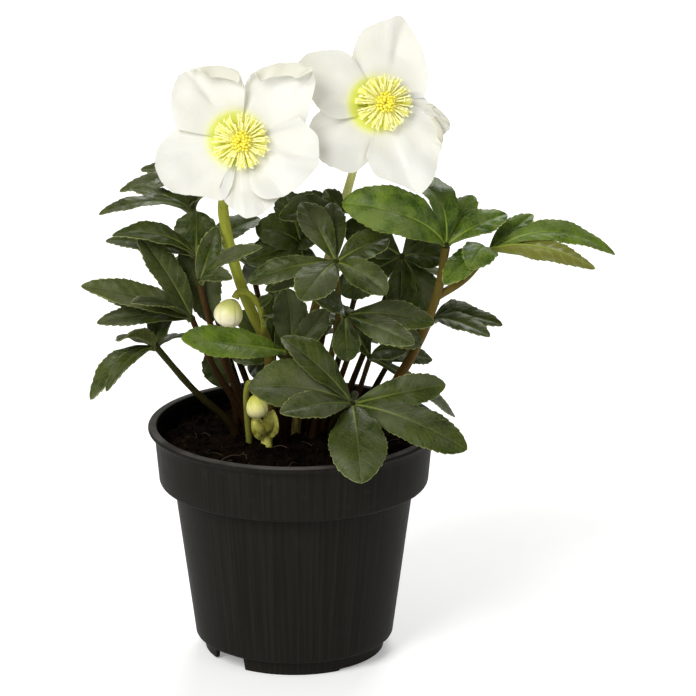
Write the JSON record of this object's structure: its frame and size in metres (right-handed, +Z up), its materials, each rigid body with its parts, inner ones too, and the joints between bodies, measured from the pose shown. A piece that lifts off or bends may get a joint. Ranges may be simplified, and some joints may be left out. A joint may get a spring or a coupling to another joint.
{
  "type": "potted christmas rose",
  "caption": "Christmas rose plant with two open white blooms, nodding buds and toothed dark leaves, standing in a round black nursery pot filled with soil.",
  "frame": {"origin": "centre of the pot's underside, on the plane the pot stands on", "axes": "+Z up, from the pot to the blooms; -Y the side that both blooms face; +X to the right seen from that side"},
  "size_m": [0.2353, 0.1636, 0.292],
  "materials": {
    "pot": "matt charcoal black with faint streaks",
    "soil": "dark crumbly potting soil with a few pale fibres",
    "leaf": "dark green, leathery, with a soft sheen and paler veins",
    "young_leaf": "brighter green, leathery, with a soft sheen",
    "stalk": "reddish brown, finely spotted",
    "stem": "pale olive green, fleshy",
    "sepal": "warm white, satin, faintly veined",
    "nectary": "yellow green, satin",
    "stamen": "pale yellow, powdery",
    "bud": "pale yellow green, satin"
  },
  "bodies": {
    "root": {"pot": "pot", "soil": "soil", "leaf_front": "leaf", "leaf_front_left": "young_leaf", "leaf_dark_middle": "leaf", "leaf_middle": "leaf", "leaf_lower_middle": "leaf", "leaf_left": "leaf", "leaf_left_high": "leaf", "leaf_left_arching": "leaf", "leaf_left_top": "leaf", "leaf_left_inner": "leaf", "leaf_lower_left": "leaf", "leaf_top_middle": "leaf", "leaf_inner": "leaf", "leaf_deep_left": "leaf", "leaf_right_high": "young_leaf", "leaf_right_tip": "young_leaf", "leaf_right_inner": "leaf", "leaf_lower_right": "leaf", "leaf_right_low": "leaf", "leaf_left_low": "leaf", "leaf_back_left": "leaf", "leaf_back_right": "leaf", "leaf_back_low": "leaf", "stalk_front": "stalk", "stalk_front_left": "stalk", "stalk_dark_middle": "stalk", "stalk_middle": "stalk", "stalk_lower_middle": "stalk", "stalk_left": "stalk", "stalk_left_high": "stalk", "stalk_left_arching": "stalk", "stalk_left_top": "stalk", "stalk_left_inner": "stalk", "stalk_lower_left": "stalk", "stalk_top_middle": "stalk", "stalk_inner": "stalk", "stalk_deep_left": "stalk", "stalk_right_high": "stalk", "stalk_right_inner": "stalk", "stalk_lower_right": "stalk", "stalk_right_low": "stalk", "stalk_left_low": "stalk", "stalk_back_left": "stalk", "stalk_back_right": "stalk", "stalk_back_low": "stalk", "bloom_1_sepals": "sepal", "bloom_1_nectaries": "nectary", "bloom_1_stamens": "stamen", "bloom_2_sepals": "sepal", "bloom_2_nectaries": "nectary", "bloom_2_stamens": "stamen", "stem_bloom_1": "stem", "stem_bloom_2": "stem", "stem_bud_2": "stem", "young_shoot": "stem", "bud_1": "bud", "bud_2": "bud"}
  },
  "joints": []
}
